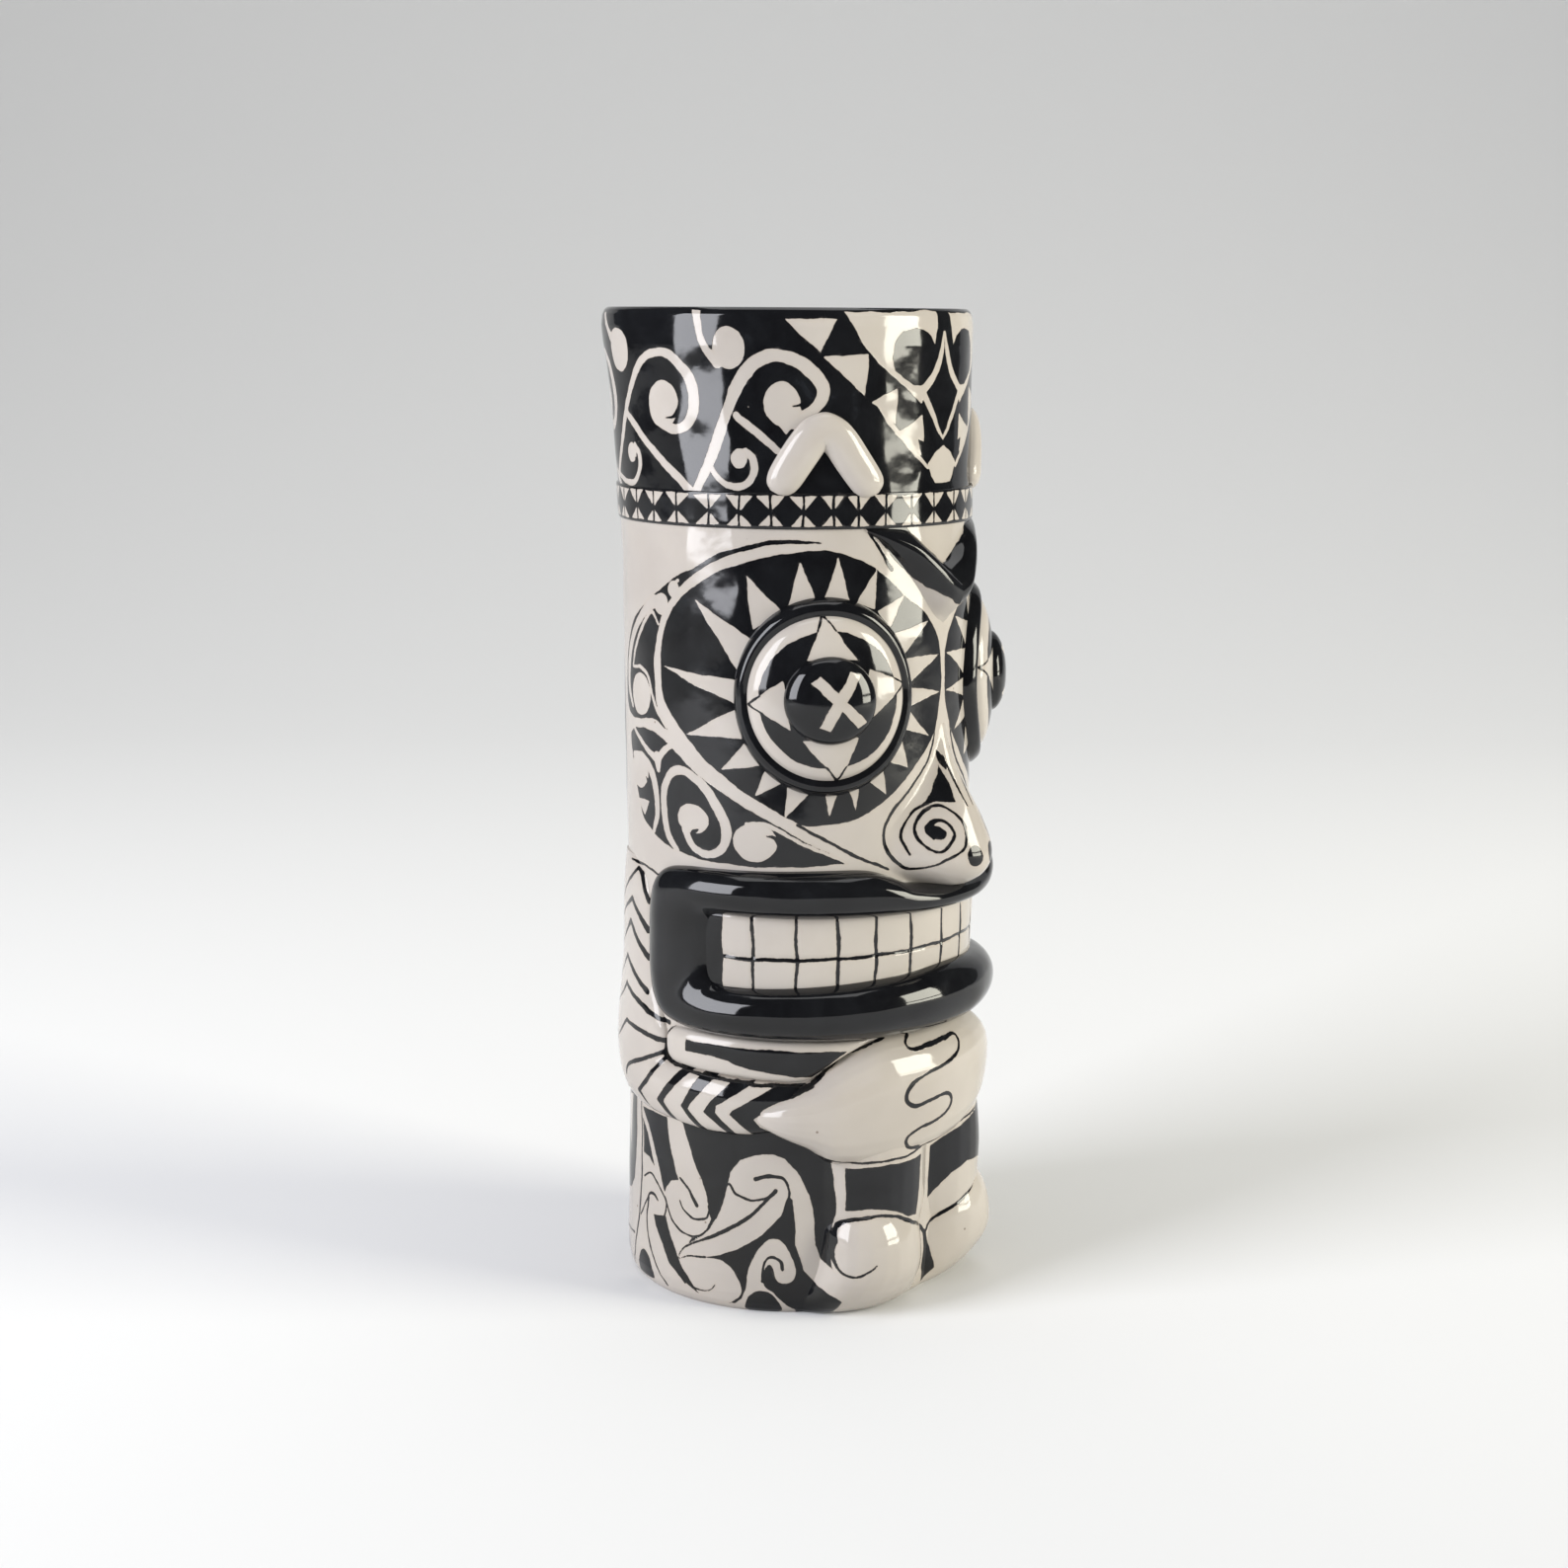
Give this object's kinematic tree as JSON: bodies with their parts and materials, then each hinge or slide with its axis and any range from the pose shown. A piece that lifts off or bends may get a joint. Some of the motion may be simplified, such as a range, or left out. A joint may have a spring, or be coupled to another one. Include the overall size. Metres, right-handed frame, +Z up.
{
  "type": "tiki mug",
  "caption": "Tall cylindrical glazed ceramic drinking mug in the form of a standing carved figure with large round eyes, a wide toothed mouth and clasped hands.",
  "frame": {"origin": "centre of the flat base, on the cup's axis, at table height", "axes": "+Z up along the cup's axis to the rim, -Y the way the face looks, +X the figure's left side"},
  "size_m": [0.0792, 0.0853, 0.2],
  "materials": {
    "cream_glaze": "gloss",
    "black_glaze": "gloss",
    "painted_wall": "gloss, black drawing on cream",
    "bare_clay": "matt, unglazed underneath"
  },
  "bodies": {
    "root": {"cup_wall": "painted_wall", "cup_floor": "bare_clay", "headband": "painted_wall", "crest_chevron_right": "cream_glaze", "crest_chevron_left": "cream_glaze", "brow_right": "black_glaze", "brow_left": "black_glaze", "eye_ring_right": "black_glaze", "eye_ring_left": "black_glaze", "eyeball_right": "painted_wall", "eyeball_left": "painted_wall", "pupil_right": "black_glaze", "pupil_left": "black_glaze", "nose": "cream_glaze", "upper_lip": "black_glaze", "lower_lip": "black_glaze", "upper_teeth": "cream_glaze", "lower_teeth": "cream_glaze", "upper_arm_right": "painted_wall", "upper_arm_left": "painted_wall", "forearm_right": "painted_wall", "forearm_left": "painted_wall", "chest_panel_right": "painted_wall", "chest_panel_left": "painted_wall", "hand_right": "cream_glaze", "hand_left": "cream_glaze", "leg_right": "black_glaze", "leg_left": "black_glaze", "foot_right": "cream_glaze", "foot_left": "cream_glaze"}
  },
  "joints": []
}
